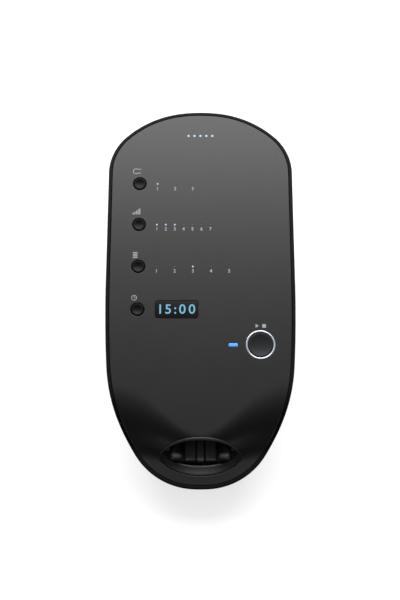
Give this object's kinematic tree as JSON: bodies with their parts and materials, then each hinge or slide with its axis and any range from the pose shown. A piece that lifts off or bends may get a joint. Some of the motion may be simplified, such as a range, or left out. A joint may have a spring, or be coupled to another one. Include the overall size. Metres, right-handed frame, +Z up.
{
  "type": "compression therapy pump",
  "caption": "Tabletop air pump unit with a sloping button face, a display window, rows of indicator lights and a lens-shaped hose socket under a moulded hood.",
  "frame": {"origin": "middle of the underside, at the level of the rubber feet", "axes": "+X to the right of someone at the buttons, +Y towards the head end with the power inlet, +Z up"},
  "size_m": [0.1058, 0.222, 0.1114],
  "materials": {
    "face_plastic": "satin charcoal moulded plastic",
    "housing_plastic": "satin near-black moulded plastic",
    "socket_plastic": "smooth dark grey moulded plastic",
    "rubber": "matt black rubber",
    "button_plastic": "smooth near-black plastic",
    "bright_trim": "bright satin metal",
    "window": "dark clear lens",
    "display": "dark display face with lit digits",
    "light_pipe": "clear moulded lens",
    "circuit_board": "green solder mask",
    "component_plastic": "black component plastic",
    "cable": "grey flat cable",
    "contact_metal": "plated contact pin",
    "battery_wrap": "heat-shrink film",
    "steel": "plated steel",
    "filter_foam": "open-cell foam"
  },
  "bodies": {
    "housing": {"battery_pack": "battery_wrap", "battery_tray": "component_plastic", "connector_block": "socket_plastic", "control_board": "circuit_board", "dc_contact": "contact_metal", "dc_jack": "component_plastic", "display_module": "display", "display_window": "window", "face_cover": "face_plastic", "feet": "rubber", "guide_post_left": "socket_plastic", "guide_post_right": "socket_plastic", "intake_filter": "filter_foam", "light_pipe_attachment": "light_pipe", "light_pipe_battery": "light_pipe", "light_pipe_pressure": "light_pipe", "light_pipe_status": "light_pipe", "light_pipe_zone": "light_pipe", "lower_housing": "housing_plastic", "main_board": "circuit_board", "outlet_duct": "rubber", "port_bezel": "socket_plastic", "pressure_sensors": "component_plastic", "pump_base": "steel", "pump_body": "component_plastic", "pump_motor": "steel", "pump_mounts": "rubber", "pump_tube": "rubber", "ribbon_cable": "cable", "start_ring": "bright_trim", "tact_switches": "component_plastic", "valve_coils": "steel", "valve_manifold": "component_plastic"},
    "button_attachment": {"button_attachment": "button_plastic"},
    "button_pressure": {"button_pressure": "button_plastic"},
    "button_zone": {"button_zone": "button_plastic"},
    "button_time": {"button_time": "button_plastic"},
    "start_button": {"start_button": "button_plastic"}
  },
  "joints": [
    {"name": "button_attachment_press", "type": "slide", "parent": "housing", "child": "button_attachment", "axis": [0, 0.309, -0.9511], "range_m": [0, 0.0005], "stiffness_N_per_m": 400, "springref_m": -0.0005},
    {"name": "button_pressure_press", "type": "slide", "parent": "housing", "child": "button_pressure", "axis": [0, 0.309, -0.9511], "range_m": [0, 0.0005], "stiffness_N_per_m": 400, "springref_m": -0.0005},
    {"name": "button_zone_press", "type": "slide", "parent": "housing", "child": "button_zone", "axis": [0, 0.309, -0.9511], "range_m": [0, 0.0005], "stiffness_N_per_m": 400, "springref_m": -0.0005},
    {"name": "button_time_press", "type": "slide", "parent": "housing", "child": "button_time", "axis": [0, 0.309, -0.9511], "range_m": [0, 0.0005], "stiffness_N_per_m": 400, "springref_m": -0.0005},
    {"name": "start_button_press", "type": "slide", "parent": "housing", "child": "start_button", "axis": [0, 0.309, -0.9511], "range_m": [0, 0.0005], "stiffness_N_per_m": 400, "springref_m": -0.0005}
  ]
}
